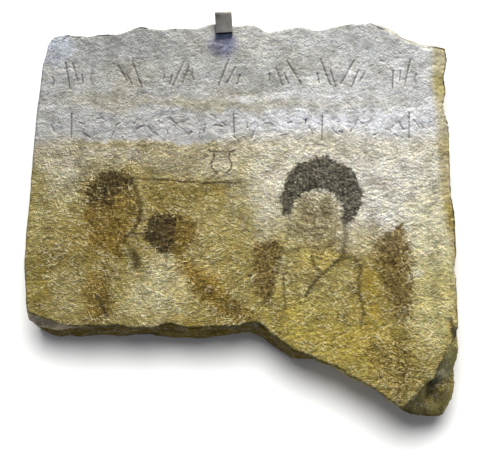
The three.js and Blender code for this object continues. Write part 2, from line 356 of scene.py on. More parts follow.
stoneLook = {
    "grid": 1.5 * mm,  # spacing of the points on the carved face
    "sideShare": 0.4,  # what is kept of the points on the broken sides
    "backShare": 0.06,
    "backLayer": 3 * mm,
    "faceLayer": 5 * mm,
    "wornLayer": 8 * mm,  # how far below the face its edges are worn
    "wear": 10,  # rounds of smoothing on the worn edges
    "aroundStroke": 2.5,  # mm beside a stroke that are levelled before it is cut
    "levelLayer": 3 * mm,
    "aroundDetail": 1.0,  # mm beside a stroke or a thin line where the faces are finer
    "detailLayer": 2 * mm,
    "thinLine": 1.9,
    "faceDepth": (-0.5, 3.5),  # mm that the face may rise and sink by
    # the rough strip beside the right edge, which lies a little lower than the face
    "strip": [(176, 190), (179, 166), (180, 150), (178, 122), (181, 92), (182, 54), (183, 6), (188, -32),
              (192, -70), (190, -100), (194, -118)],
    "stripDeep": 1.8,
    "stripLow": -122,  # it ends at the lower right chip
    "stripHigh": 176,
    # the split surface falls away beyond the strip: slowly near the face, then all the way to the solid's
    "splitDeep": 26,
    "splitKeep": 0.75,
    "splitHigh": 166,
    "lumpHeight": (-5, 0.7),  # mm that the broken sides may sink and rise by
    # across the lower right chip: points, width, depth, and how far up from the back it begins
    "crack": ([(166, -166), (176, -161), (187, -158)], 3.5, 2.2, 20 * mm),
    "leftSide": -186,  # beyond this the side is dressed, not broken
    # x, y, radius, depth
    "pits": [(9, -66, 1.7, 1.8), (-3, -101, 1.6, 1.0), (0, -98, 1.4, 0.9), (52, -76, 1.2, 0.8),
             (17, 60, 5, 0.8), (168, -66, 3, 1.0), (-106, 49, 5, 1.0), (-101, 44, 3, 0.9),
             (88, 70, 1.8, 1.1), (88, 84, 1.8, 1.1), (-172, 84, 2, 1.0), (-170, 74, 2, 1.0),
             (-168, 65, 2, 1.0), (88, 60, 1.8, 1.1), (62, 82, 2.2, 1.0)],
}


def fineCopy(node, name):
    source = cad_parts[node]
    piece = bpy.data.objects.new(name, source.data.copy())
    bpy.context.scene.collection.objects.link(piece)
    piece.data.materials.clear()
    pick(piece)
    bpy.ops.object.mode_set(mode="EDIT")
    bpy.ops.mesh.select_all(action="SELECT")
    bpy.ops.mesh.remove_doubles(threshold=0.00001)
    bpy.ops.object.mode_set(mode="OBJECT")
    return piece


def readAll(elements, name):
    flat = np.empty(3 * len(elements))
    elements.foreach_get(name, flat)
    return flat.reshape(-1, 3)


def pointsOf(piece):
    return readAll(piece.data.vertices, "co")


def normalsOf(piece):
    return readAll(piece.data.vertices, "normal")


def setPoints(piece, points):
    piece.data.vertices.foreach_set("co", points.ravel())
    piece.data.update()


def keepMask(piece, name, values):
    attribute = piece.data.attributes.new(name, "FLOAT", "POINT")
    attribute.data.foreach_set("value", np.clip(values, 0, 1).astype(np.float32))


def selectGroup(piece, name, wanted):
    group = piece.vertex_groups.new(name=name)
    group.add(np.nonzero(wanted)[0].tolist(), 1.0, "REPLACE")


def editOnly(piece, kind, wanted):
    # opens the piece for editing, with these faces or edges alone selected
    pick(piece)
    bpy.ops.object.mode_set(mode="EDIT")
    bpy.ops.mesh.select_mode(type=kind)
    bpy.ops.mesh.select_all(action="DESELECT")
    bpy.ops.object.mode_set(mode="OBJECT")
    elements = piece.data.polygons if kind == "FACE" else piece.data.edges
    elements.foreach_set("select", wanted)
    bpy.ops.object.mode_set(mode="EDIT")


def thinOut(piece, name, wanted, share):
    # keeps this share of the wanted points
    selectGroup(piece, name, wanted)
    left = (~wanted).sum() + share * wanted.sum()
    applyModifier(piece, "DECIMATE", ratio=float(left / len(wanted)), vertex_group=name, use_symmetry=False)


def besideStrokes(x, y, margin):
    near = np.zeros(len(x), bool)
    for stroke in strokes:
        near |= farFromPath(x, y, stroke["points"]) < stroke["wide"] / 2 + margin
    return near


stone = fineCopy("stone", "carvedStone")
applyModifier(stone, "REMESH", mode="VOXEL", voxel_size=stoneLook["grid"])
p = pointsOf(stone)
thinOut(stone, "backPart", p[:, 2] < stoneLook["backLayer"], stoneLook["backShare"])
p = pointsOf(stone)
onSide = (p[:, 2] >= stoneLook["backLayer"]) & (p[:, 2] < faceLevel - stoneLook["faceLayer"])
thinOut(stone, "sidePart", onSide, stoneLook["sideShare"])

# the solid's own strokes are levelled, to be cut again more finely
p = pointsOf(stone)
levelled = besideStrokes(p[:, 0] / mm, p[:, 1] / mm, stoneLook["aroundStroke"])
levelled &= p[:, 2] > faceLevel - stoneLook["levelLayer"]
p[levelled, 2] = faceLevel
setPoints(stone, p)

# the edges of the face are worn round
n = normalsOf(stone)
selectGroup(stone, "worn", (p[:, 2] > faceLevel - stoneLook["wornLayer"]) & (n[:, 2] < 0.98))
applyModifier(stone, "SMOOTH", factor=0.5, iterations=stoneLook["wear"], vertex_group="worn")

# finer faces where there is something to draw
centres = readAll(stone.data.polygons, "center")
cx, cy = centres[:, 0] / mm, centres[:, 1] / mm
wanted = besideStrokes(cx, cy, stoneLook["aroundDetail"])
for points, width, soft, strength in paintLines:
    if width < stoneLook["thinLine"]:
        wanted |= farFromPath(cx, cy, points) < width / 2 + stoneLook["aroundDetail"]
wanted &= centres[:, 2] > faceLevel - stoneLook["detailLayer"]
editOnly(stone, "FACE", wanted)
bpy.ops.mesh.subdivide(number_cuts=1)
bpy.ops.object.mode_set(mode="OBJECT")
print("stone mesh:", sum(len(face.vertices) - 2 for face in stone.data.polygons), "triangles")

p = pointsOf(stone)
n = normalsOf(stone)
x, y = p[:, 0] / mm, p[:, 1] / mm

# the split right edge is full near the face, and falls away only at its outer side
splitDeep, splitHigh, stripLow = (stoneLook[name] for name in ("splitDeep", "splitHigh", "stripLow"))
stripX = np.interp(y, *np.array([(b, a) for a, b in stoneLook["strip"]][::-1]).T)
beyond = smooth((x - stripX + 3) / 5) * smooth((y - stripLow) / 10) * smooth((splitHigh - y) / 10)
below = np.clip(faceLevel - p[:, 2], 0, None) / mm
kept = stoneLook["splitKeep"] * below * np.clip(below / splitDeep, 0, 1) ** 2
p[:, 2] += beyond * np.where(below < splitDeep, below - kept, 0) * smooth((n[:, 2] - 0.15) / 0.3) * mm
setPoints(stone, p)

# which way each point looks
n = normalsOf(stone)
faceward = smooth((n[:, 2] - 0.75) / 0.2) * smooth((p[:, 2] - faceLevel + 4 * mm) / (2.5 * mm))
underside = smooth((-n[:, 2] - 0.6) / 0.3)
rough = (1 - faceward) * (1 - underside)

strip = np.where((x > stripX) & (y > stripLow), smooth((farFromPath(x, y, stoneLook["strip"]) + 1) / 12), 0)
strip *= smooth((stoneLook["stripHigh"] - y) / 14)

# the face: tool marks, a slight unevenness, the strokes, the pits and the lower strip
marks = toolMarks()
marks -= blurred(marks, 41)
hollows = marks - blurred(marks, 9)
groove = np.zeros(len(p))
litEdge = np.zeros(len(p))  # the lower lip of each stroke, which faces the lamp, painted lighter as a highlight
for stroke in strokes:
    half = stroke["wide"] / 2 + 0.3
    cut = np.clip(1 - farFromPath(x, y, stroke["points"]) / half, 0, 1)
    groove = np.maximum(groove, cut**0.8 * stroke["deep"])
    litEdge = np.maximum(litEdge, smooth(1.4 - farFromPath(x - 0.6, y + 1.3, stroke["points"]) / half))
litEdge *= groove < 0.1
grooved = smooth(groove / 0.25)
depth = -sample(marks, x, y) * (1 - 0.7 * grooved)
depth += 0.5 * unevenness(p / mm, 38, 2) + 0.12 * unevenness(p / mm, 7, 2, shift=8.6)
groove *= 1 + 0.35 * unevenness(p / mm, 6, 2)
pits = np.zeros(len(p))
for px, py, radius, deep in stoneLook["pits"]:
    pits = np.maximum(pits, deep * smooth(1.3 - np.hypot(x - px, y - py) / radius))
depth += groove + pits
depth += strip * (stoneLook["stripDeep"] + 0.7 * unevenness(p / mm, 12, 3, shift=6.1))

moved = p.copy()
moved[:, 2] -= faceward * np.clip(depth, *stoneLook["faceDepth"]) * mm

# the broken sides: lumps, and flakes that left steps, most of all on the lower right chip
crackPoints, crackWide, crackDeep, crackLow = stoneLook["crack"]
crack = band(x, y, crackPoints, crackWide, 1.2) * (p[:, 2] > crackLow)
lumps = 1.8 * unevenness(p / mm, 20, 3) + 1.2 * unevenness(p / mm, 7, 3, shift=3.1)
flakes = 7 * unevenness(p / mm, 36, 3, shift=6.6)
steps = np.floor(flakes) + smooth((flakes - np.floor(flakes) - 0.3) / 0.35)
lively = 0.5 + 0.5 * oval(x, y, 188, -148, 30, 36, soft=0.2)
broken = np.clip((lumps + 1.3 * steps) * lively - 0.5, *stoneLook["lumpHeight"])
dressed = smooth((x - stoneLook["leftSide"]) / -8) * 0.7
push = rough * (broken * (1 - dressed) - 0.4) - crackDeep * crack * rough
moved += n * (push * mm)[:, None]
moved[:, 2] = np.where(underside > 0.2, np.abs(unevenness(p / mm, 26, 3)) * 1.2 * mm, moved[:, 2])
moved[:, 2] = np.maximum(moved[:, 2], 0)
setPoints(stone, moved)


# The stone's colours, as they look under the lamps

faceColours = {
    "bare": (172, 171, 169),
    "panel": (158, 143, 90),
    "stripHigh": (168, 156, 108),
    "stripLow": (152, 136, 80),
    # painted shade for the broken sides that face away from the lamp
    "below": (88, 73, 0),
}

# Broad washes, each laid over the last: x, y, reach across and up in mm, turn in degrees, softness,
# strength and colour

washes = [
    (-120, 120, 110, 60, 0, 0.7, 0.6, (162, 162, 162)),
    (150, 120, 150, 70, 0, 0.7, 0.8, (196, 196, 197)),
    (-20, 70, 60, 16, 0, 0.6, 0.6, (190, 189, 190)),
    (110, 76, 95, 24, 0, 0.5, 0.85, (208, 209, 215)),
    (-100, 76, 60, 16, 0, 0.6, 0.4, (178, 177, 178)),
    (-30, 99, 70, 6, -2, 0.7, 0.65, (168, 161, 134)),
    (-130, 101, 36, 9, 0, 0.7, 0.5, (170, 163, 142)),
    (90, 97, 60, 6, 0, 0.7, 0.35, (180, 175, 155)),
    (-100, 133, 26, 12, 0, 0.7, 0.45, (158, 152, 136)),
    (-110, 116, 14, 7, 10, 0.8, 0.5, (150, 143, 120)),
    (-2, 112, 26, 6, 0, 0.8, 0.5, (160, 152, 126)),
    (60, 140, 30, 12, 0, 0.8, 0.3, (176, 172, 160)),
    (-16, 160, 60, 14, 0, 0.7, 0.3, (164, 160, 148)),
    (0, 104, 8, 4, 0, 0.8, 0.8, (212, 210, 212)),
    (30, 106, 14, 5, 0, 0.8, 0.7, (214, 213, 212)),
    (-78, 104, 14, 3, 0, 0.8, 0.6, (200, 198, 194)),
    (70, 118, 10, 5, 0, 0.9, 0.6, (216, 216, 212)),
    (-120, 160, 80, 22, 0, 0.7, 0.65, (143, 144, 145)),
    (130, 162, 70, 20, 0, 0.7, 0.6, (168, 170, 172)),
    (10, 130, 60, 16, 0, 0.7, 0.6, (150, 150, 147)),
    # painted shadow of the clip's lip: a dark blue-grey wash just below it
    (-14, 158, 12, 11, 0, 0.6, 0.9, (112, 113, 140)),
    # painted highlight: the top-left chip paler and bluer, as the light falls on it
    (-184, 156, 16, 20, -25, 0.5, 0.8, (172, 178, 190)),
]
# washes on the panel alone
panelWashes = [
    (-100, 57, 90, 19, 0, 0.5, 0.85, (154, 145, 120)),
    (-184, 45, 20, 24, 0, 0.7, 0.6, (162, 154, 132)),
    (-160, 46, 36, 16, 0, 0.6, 0.7, (182, 176, 156)),
    (-168, 26, 15, 18, 0, 0.6, 0.95, (194, 188, 171)),
    (-120, 47, 26, 8, 0, 0.7, 0.7, (182, 174, 154)),
    (-50, 42, 36, 17, 0, 0.6, 0.8, (173, 164, 138)),
    (-103, 50, 6, 4, 50, 0.9, 0.75, (216, 208, 194)),
    (-70, 54, 20, 6, 0, 0.8, 0.5, (178, 168, 138)),
    (-18, 42, 15, 16, 0, 0.6, 0.8, (190, 180, 150)),
    (-35, 12, 60, 14, 0, 0.6, 0.6, (150, 134, 74)),
    (-75, 8, 18, 14, 0, 0.7, 0.5, (140, 120, 62)),
    (-20, -20, 30, 22, 0, 0.7, 0.7, (172, 158, 108)),
    (-12, -45, 24, 22, 0, 0.7, 0.7, (174, 158, 98)),
    (-178, 0, 24, 32, 0, 0.7, 0.6, (166, 154, 104)),
    (-172, -52, 18, 14, 0, 0.7, 0.8, (132, 118, 68)),
    (-165, -84, 16, 18, 0, 0.7, 0.7, (168, 156, 112)),
    (-182, -80, 12, 30, 0, 0.7, 0.7, (138, 122, 54)),
    (-128, -34, 26, 16, -20, 0.7, 0.6, (146, 122, 58)),
    (-130, -52, 34, 16, 0, 0.7, 0.5, (148, 132, 78)),
    (-104, -96, 12, 12, 0, 0.7, 0.6, (184, 172, 124)),
    (-72, -56, 14, 14, 0, 0.6, 0.8, (198, 188, 146)),
    (-76, -84, 24, 26, 0, 0.5, 0.9, (197, 187, 146)),
    (-46, -74, 16, 24, -35, 0.6, 0.8, (206, 191, 136)),
    (-27, -78, 36, 9, -42, 0.6, 0.85, (163, 134, 54)),
    (110, 50, 115, 34, 0, 0.45, 0.95, (211, 206, 193)),
    (128, 12, 82, 48, 0, 0.5, 0.95, (214, 210, 201)),
    (22, 20, 26, 44, 0, 0.6, 0.8, (215, 210, 192)),
    (30, 27, 10, 12, 0, 0.7, 0.6, (220, 214, 202)),
    (3, -10, 8, 60, 0, 0.7, 0.6, (156, 142, 84)),
    (66, -18, 30, 34, 0, 0.6, 0.6, (182, 172, 134)),
    (184, -35, 26, 60, 0, 0.6, 0.9, (214, 208, 178)),
    (110, -32, 14, 16, 0, 0.6, 0.8, (202, 192, 158)),
    (178, -88, 24, 40, 0, 0.6, 0.85, (202, 190, 128)),
    (164, -62, 6, 4, 20, 0.9, 0.7, (232, 226, 208)),
    (170, -118, 14, 26, -14, 0.6, 0.75, (208, 197, 142)),
    (48, -52, 22, 16, 0, 0.6, 0.6, (172, 158, 102)),
    (75, -88, 36, 26, 0, 0.6, 0.7, (176, 162, 98)),
    (121, -84, 15, 38, 0, 0.8, 0.85, (162, 140, 62)),
    (70, -114, 52, 24, -20, 0.6, 0.75, (186, 168, 84)),
    (120, -134, 40, 30, -20, 0.6, 0.75, (182, 161, 80)),
    (73, -51, 15, 11, 0, 0.7, 0.95, (190, 170, 94)),
    (160, -150, 20, 26, 0, 0.6, 0.5, (166, 151, 88)),
    (-20, -104, 60, 6, 0, 0.6, 0.6, (150, 130, 58)),
]
# washes on the broken sides
edgeWashes = [
    (200, 90, 16, 80, 0, 0.3, 0.8, (170, 158, 114)),
    (203, -40, 16, 70, 0, 0.3, 0.8, (172, 157, 99)),
    (186, -150, 26, 44, -8, 0.25, 0.9, (184, 167, 94)),
    (184, -154, 10, 7, 30, 0.8, 0.6, (206, 196, 152)),
    (190, -134, 6, 11, 0, 0.8, 0.6, (190, 184, 124)),
    (180, -172, 12, 6, 25, 0.8, 0.7, (120, 98, 56)),
    (193, -110, 6, 9, 0, 0.6, 0.9, (150, 122, 80)),
    (168, -160, 12, 6, -25, 0.5, 0.6, (124, 104, 66)),
    (-174, -104, 36, 18, 0, 0.3, 0.9, (188, 172, 142)),
    # painted highlight: the top-left chip paler and bluer, as the light falls on it
    (-186, 158, 26, 30, 0, 0.3, 0.85, (164, 169, 180)),
    (175, 178, 60, 16, -20, 0.3, 0.8, (178, 174, 158)),
]


def layColour(colour, shade, mask):
    mask = mask[:, None]
    return colour * (1 - mask) + np.array(seen(*shade)[:3]) * mask


def layWashes(colour, x, y, area, layers):
    for cx, cy, rx, ry, turn, soft, strength, shade in layers:
        colour = layColour(colour, shade, oval(x, y, cx, cy, rx, ry, turn, soft) * strength * area)
    return colour


# Where each colour goes

drift = np.stack([5.5 * unevenness(p / mm, 12, 4, shift=k) for k in (1.3, 4.4)])
broad = np.stack([unevenness(p / mm, 40, 3, shift=k) for k in (9.2, 2.8)])
wx, wy = x + drift[0], y + drift[1]  # uneven edges
bx, by = wx + 9 * broad[0], wy + 9 * broad[1]
everywhere = np.ones(len(p))

# the bare stone above, and the painted panel, whose top edge is blurred at both ends
farLeft = smooth((-140 - x) / 40)
panelTop = 61 + 6 * broad[0] + 3 * unevenness(p / mm, 14, 3, shift=7.7) - 6 * farLeft
blur = 4 + 12 * farLeft + 14 * smooth((x + 40) / 50)
panel = smooth((panelTop + blur - wy) / (2 * blur))
colour = np.tile(seen(*faceColours["bare"])[:3], (len(p), 1))
colour = layWashes(colour, bx, by, everywhere, washes)
colour = layColour(colour, faceColours["panel"], panel)
colour = layWashes(colour, bx, by, panel, panelWashes)

# the strip, in one colour beside the strokes and another beside the panel
blotchy = 0.7 + 0.3 * smooth(0.5 + 1.5 * unevenness(p / mm, 22, 2, shift=5.5))
onStrip = (np.minimum(1.3 * strip, 1) * blotchy)[:, None]
highUp = smooth((y - 20) / 60)[:, None]
upper, lower = (np.array(seen(*faceColours[name])[:3]) for name in ("stripHigh", "stripLow"))
colour = colour * (1 - onStrip) + (upper * highUp + lower * (1 - highUp)) * onStrip

# the broken sides; those that face down the face, away from the lamp, are painted dark as shade, but for the
# chips and the long slanting break
colour = layWashes(colour, wx, wy, rough * 0.9 + 0.1 * (n[:, 2] < 0.9), edgeWashes)
leftChip = oval(x, y, -176, -104, 36, 18, soft=0.3) * smooth((p[:, 2] - 42 * mm) / (8 * mm))
chipped = np.maximum(leftChip, oval(x, y, 186, -148, 26, 34, soft=0.3))
slanting = smooth((-n[:, 0] - 0.25) / 0.25) * smooth((x - 62) / 14)
shadedUnderside = rough * smooth((-n[:, 1] - 0.35) / 0.4) * (1 - 0.85 * np.maximum(chipped, slanting))
colour = layColour(colour, faceColours["below"], shadedUnderside)
patchy = 0.4 * unevenness(p / mm, 20, 3, shift=8.2) - 0.25 * np.clip(-broken, 0, 2) / 2
upward = smooth((n[:, 1] - 0.4) / 0.4) * smooth((0.1 - n[:, 2]) / 0.2)
colour = np.clip(colour * (1 + rough * (patchy * (1 - dressed) - 0.45 * upward))[:, None], 0, 1)

wash = stone.data.attributes.new("wash", "FLOAT_COLOR", "POINT")
wash.data.foreach_set("color", np.column_stack([colour, everywhere]).astype(np.float32).ravel())
for name, areas in paintAreas.items():
    mask = np.zeros(len(p))
    for points, soft, strength in areas:
        mask = np.maximum(mask, strength * patch(x + 0.75 * drift[0], y + 0.75 * drift[1], points, soft))
    keepMask(stone, name, mask * faceward)


def drawLines(lines, unsteady):
    drawn = np.zeros(len(p))
    for points, width, soft, strength in lines:
        reached = band(x + unsteady * drift[0], y + unsteady * drift[1], points, width, soft)
        drawn = np.maximum(drawn, strength * reached)
    return drawn


painted = drawLines(paintLines, 0.2) * faceward
cracked = drawLines(chipCracks, 0.3) * (p[:, 2] > 15 * mm)
keepMask(stone, "line", np.maximum(painted, cracked))
weathered = oval(x, y, 140, 22, 62, 56, soft=0.5)  # the pale side of the panel, where tooling is faint
tooled = (0.3 + 0.7 * panel) * (1 - 0.6 * strip) * (0.6 + 0.4 * faceward) * (1 - 0.35 * weathered)
keepMask(stone, "tooled", tooled)
keepMask(stone, "carved", faceward * groove / 0.85)
keepMask(stone, "broken", 1 - faceward)
# painted light and shade: the hollows of the tool marks darker as shade, their burrs and the strokes' lower
# lips lighter as highlight
reliefShadeAndHighlight = sample(hollows, x, y) / 0.3 * (0.65 + 0.35 * panel) + 0.3 * litEdge
keepMask(stone, "paintedReliefLight", 0.5 - faceward * reliefShadeAndHighlight)
lean = np.degrees(toolLean(x, y))
keepMask(stone, "leanLevel", smooth((20 - np.abs(lean)) / 10))
keepMask(stone, "leanDown", smooth((-lean - 10) / 10))
keepMask(stone, "leanUp", smooth((lean - 10) / 10))
pick(stone)
bpy.ops.object.shade_smooth()
print("stone carved and painted")


# Colours and materials

def addNode(tree, kind, **values):
    node = tree.nodes.new(kind)
    for name, value in values.items():
        setattr(node, name, value)
    return node


def join(tree, source, target, output=0, entry=0):
    tree.links.new(source.outputs[output], target.inputs[entry])


def calculate(tree, operation, a, b=None, clamp=False):
    node = addNode(tree, "ShaderNodeMath", operation=operation, use_clamp=clamp)
    for i, value in enumerate((a, b)):
        if value is None:
            continue
        if isinstance(value, (int, float)):
            node.inputs[i].default_value = value
        else:
            tree.links.new(value, node.inputs[i])
    return node.outputs[0]


def blendColours(tree, mask, under, over, mode="MIX"):
    node = addNode(tree, "ShaderNodeMix", data_type="RGBA", blend_type=mode)
    for socket, value in ((node.inputs[0], mask), (node.inputs[6], under), (node.inputs[7], over)):
        if isinstance(value, (tuple, float, int)):
            socket.default_value = value
        else:
            tree.links.new(value, socket)
    return node.outputs[2]


def rescale(tree, value, low, high, newLow=0.0, newHigh=1.0):
    node = addNode(tree, "ShaderNodeMapRange", clamp=True)
    tree.links.new(value, node.inputs[0])
    for i, limit in enumerate((low, high, newLow, newHigh)):
        node.inputs[1 + i].default_value = limit
    return node.outputs[0]


def newGroup(name, entries, exits):
    group = bpy.data.node_groups.new(name, "ShaderNodeTree")
    for label, kind, value in entries:
        socket = group.interface.new_socket(label, in_out="INPUT", socket_type=kind)
        if value is not None:
            socket.default_value = value
    for label, kind in exits:
        group.interface.new_socket(label, in_out="OUTPUT", socket_type=kind)
    return group, group.nodes.new("NodeGroupInput"), group.nodes.new("NodeGroupOutput")


def makeWornPaint():
    # breaks a painted area up: the paint is left in spots, and off the crests, where it is thin
    group, given, result = newGroup(
        "wornPaint",
        [("Vector", "NodeSocketVector", None), ("Mask", "NodeSocketFloat", 0.0),
         ("Crests", "NodeSocketFloat", 0.5), ("Grain", "NodeSocketFloat", 500.0),
         ("Wear", "NodeSocketFloat", 0.5)],
        [("Mask", "NodeSocketFloat")],
    )
    noise = addNode(group, "ShaderNodeTexNoise")
    noise.inputs["Detail"].default_value = 4
    noise.inputs["Roughness"].default_value = 0.7
    join(group, given, noise, 0, 0)
    group.links.new(given.outputs["Grain"], noise.inputs["Scale"])
    centred = calculate(group, "SUBTRACT", noise.outputs[0], 0.5)
    gap = calculate(group, "MULTIPLY", centred, calculate(group, "MULTIPLY", given.outputs["Wear"], 3.0))
    rubbed = calculate(group, "MULTIPLY", calculate(group, "SUBTRACT", given.outputs["Crests"], 0.45), -0.6)
    thin = calculate(group, "ADD", given.outputs["Mask"], calculate(group, "ADD", gap, rubbed))
    spotted = rescale(group, thin, 0.25, 0.75)
    present = rescale(group, given.outputs["Mask"], 0.0, 0.15)
    group.links.new(calculate(group, "MULTIPLY", spotted, present), result.inputs[0])
    return group


def makeChiselGrain():
    # short straight ridges in two directions that cross, one field of noise for each
    group, given, result = newGroup(
        "chiselGrain",
        [("Vector", "NodeSocketVector", None), ("Turn", "NodeSocketFloat", 0.0),
         ("Cross", "NodeSocketFloat", 0.3), ("Long", "NodeSocketFloat", 120.0),
         ("Across", "NodeSocketFloat", 420.0)],
        [("Height", "NodeSocketFloat")],
    )
    sizes = addNode(group, "ShaderNodeCombineXYZ")
    join(group, given, sizes, 3, 0)
    join(group, given, sizes, 4, 1)
    join(group, given, sizes, 4, 2)
    ridges = []
    for side, shift in ((1.0, 0.0), (-1.0, 37.0)):
        angle = calculate(group, "MULTIPLY_ADD", given.outputs["Cross"], side)
        group.links.new(given.outputs["Turn"], angle.node.inputs[2])
        turned = addNode(group, "ShaderNodeVectorRotate", rotation_type="Z_AXIS")
        join(group, given, turned, 0, "Vector")
        group.links.new(angle, turned.inputs["Angle"])
        scaled = addNode(group, "ShaderNodeVectorMath", operation="MULTIPLY_ADD")
        join(group, turned, scaled)
        join(group, sizes, scaled, 0, 1)
        scaled.inputs[2].default_value = (shift, shift, shift)
        noise = addNode(group, "ShaderNodeTexNoise")
        noise.inputs["Scale"].default_value = 1.0
        noise.inputs["Detail"].default_value = 2.0
        noise.inputs["Roughness"].default_value = 0.55
        noise.inputs["Distortion"].default_value = 0.15
        join(group, scaled, noise)
        ridges.append(rescale(group, noise.outputs[0], 0.42, 0.68))
    highest = calculate(group, "MAXIMUM", ridges[0], ridges[1])
    group.links.new(highest, result.inputs[0])
    return group


def placeGroup(tree, group, place, **values):
    node = addNode(tree, "ShaderNodeGroup", node_tree=group)
    tree.links.new(place, node.inputs[0])
    for name, value in values.items():
        socket = node.inputs[name]
        if hasattr(value, "is_output"):
            tree.links.new(value, socket)
        else:
            socket.default_value = value
    return node.outputs[0]


wornPaint = makeWornPaint()
chiselGrain = makeChiselGrain()


def newMaterial(name):
    material = bpy.data.materials.new(name)
    material.use_nodes = True
    tree = material.node_tree
    tree.nodes.clear()
    shader = tree.nodes.new("ShaderNodeBsdfPrincipled")
    output = tree.nodes.new("ShaderNodeOutputMaterial")
    join(tree, shader, output)
    place = tree.nodes.new("ShaderNodeTexCoord").outputs["Object"]
    return material, tree, shader, place


def noiseValue(tree, place, scale, detail=3.0, roughness=0.55):
    node = addNode(tree, "ShaderNodeTexNoise")
    node.inputs["Scale"].default_value = scale
    node.inputs["Detail"].default_value = detail
    node.inputs["Roughness"].default_value = roughness
    tree.links.new(place, node.inputs["Vector"])
    return node.outputs[0]


def readMask(tree, name):
    node = addNode(tree, "ShaderNodeAttribute", attribute_name=name)
    return node.outputs["Fac"]


stoneColours = {
    "wornLitCrest": seen(224, 224, 226),
    "wornLitCrestOnPanel": seen(236, 230, 202),
    "stain": seen(136, 122, 74),
    "flesh": seen(151, 127, 62),
    "fleshDark": seen(102, 81, 38),
    "brown": seen(149, 127, 74),
    "brownDark": seen(86, 70, 40),
    "hair": seen(112, 107, 90),
    "hairDark": seen(46, 42, 38),
    "umber": seen(100, 84, 52),
    "umberDark": seen(48, 39, 28),
    "line": seen(62, 50, 30),
    "shade": seen(158, 144, 104),
    "shadeDark": seen(118, 102, 66),
    # the dark in the strokes: dirt, and painted shade in the grooves
    "strokeDirtAndShade": seen(84, 78, 70),
}


# figures in two shades of their paint: the mask, grain, wear and strength of each
paintLayers = (
    ("shade", 300.0, 0.5, 0.8),
    ("flesh", 330.0, 0.55, 0.9),
    ("brown", 360.0, 0.6, 0.92),
    ("umber", 300.0, 0.6, 0.95),
    ("hair", 300.0, 0.6, 0.96),
)


def addRidges(tree, place, masks):
    # tool ridges, which lean with the patch, and are worn smooth in spots
    ridges = None
    for name, turn in (("leanLevel", 0.0), ("leanDown", 0.6), ("leanUp", -0.6)):
        height = placeGroup(tree, chiselGrain, place, Turn=turn, Cross=0.62, Across=640.0, Long=250.0)
        part = calculate(tree, "MULTIPLY", height, masks[name])
        ridges = part if ridges is None else calculate(tree, "ADD", ridges, part)
    struck = rescale(tree, noiseValue(tree, place, 105, 3, 0.6), 0.38, 0.56, 0.45, 1.0)
    return calculate(tree, "MULTIPLY", ridges, struck)


def stainStone(tree, colour, masks, noises, ridges):
    # stained in clouds, with warmer and cooler spots, and pale crests: stone worn bare and painted highlight
    c = stoneColours
    clouds = rescale(tree, noises["cloudy"], 0.5, 0.72, 0.0, 0.5)
    stained = calculate(tree, "MULTIPLY", clouds, masks["tooled"])
    colour = blendColours(tree, stained, colour, c["stain"])
    for spots, warm, cool in (
        (noises["blots"], (1.04, 1.0, 0.88, 1), (0.98, 1.0, 1.06, 1)),
        (noises["mottled"], (1.05, 0.98, 1.0, 1), (0.96, 1.02, 0.92, 1)),
    ):
        tint = blendColours(tree, rescale(tree, spots, 0.38, 0.62), warm, cool)
        tinted = blendColours(tree, 1.0, colour, tint, "MULTIPLY")
        colour = blendColours(tree, masks["tooled"], colour, tinted)
    # the crests paler, partly stone worn bare and partly painted highlight
    wornLitCrest = blendColours(tree, rescale(tree, masks["tooled"], 0.3, 1.0), c["wornLitCrest"], c["wornLitCrestOnPanel"])
    bare = calculate(tree, "MULTIPLY", rescale(tree, ridges, 0.5, 0.95, 0.0, 0.44), masks["tooled"])
    return blendColours(tree, bare, colour, wornLitCrest)


def paintStone(tree, place, colour, masks, noises, ridges):
    # the figures and the lines, then the strokes darkened with dirt and painted shade
    c = stoneColours
    for name, grain, wear, strength in paintLayers:
        worn = placeGroup(tree, wornPaint, place, Mask=masks[name], Crests=ridges, Grain=grain, Wear=wear)
        paint = blendColours(tree, rescale(tree, noises["dabs"], 0.38, 0.62), c[name + "Dark"], c[name])
        colour = blendColours(tree, calculate(tree, "MULTIPLY", worn, strength), colour, paint)
    thin = calculate(tree, "MULTIPLY", masks["line"], rescale(tree, noises["dabs"], 0.3, 0.6, 0.55, 1.0))
    colour = blendColours(tree, thin, colour, c["line"])
    return blendColours(tree, rescale(tree, masks["carved"], 0.1, 0.8, 0.0, 0.72), colour, c["strokeDirtAndShade"])


def shadeStone(tree, colour, masks, noises, ridges):
    # painted shade in the hollows and pits and painted highlight on the burrs and lit lips, with grain and
    # clouds, as factors on the colour
    light = rescale(tree, masks["paintedReliefLight"], 0.1, 0.9, 1.22, 0.75)
    for value, limits in (
        (noises["fine"], (0.3, 0.7, 0.73, 1.42)),
        (noises["cloudy"], (0.34, 0.66, 1.26, 0.78)),
        (noises["dabs"], (0.3, 0.7, 0.86, 1.14)),
        (ridges, (0.0, 0.6, 0.8, 1.08)),
    ):
        light = calculate(tree, "MULTIPLY", light, rescale(tree, value, *limits))
    level = addNode(tree, "ShaderNodeVectorMath", operation="SCALE")
    tree.links.new(colour, level.inputs[0])
    tree.links.new(light, level.inputs["Scale"])
    return level.outputs[0]


def addBump(tree, shader, height, distance, strength=1.0):
    bump = addNode(tree, "ShaderNodeBump")
    bump.inputs["Strength"].default_value = strength
    bump.inputs["Distance"].default_value = distance
    tree.links.new(height, bump.inputs["Height"])
    join(tree, bump, shader, 0, "Normal")


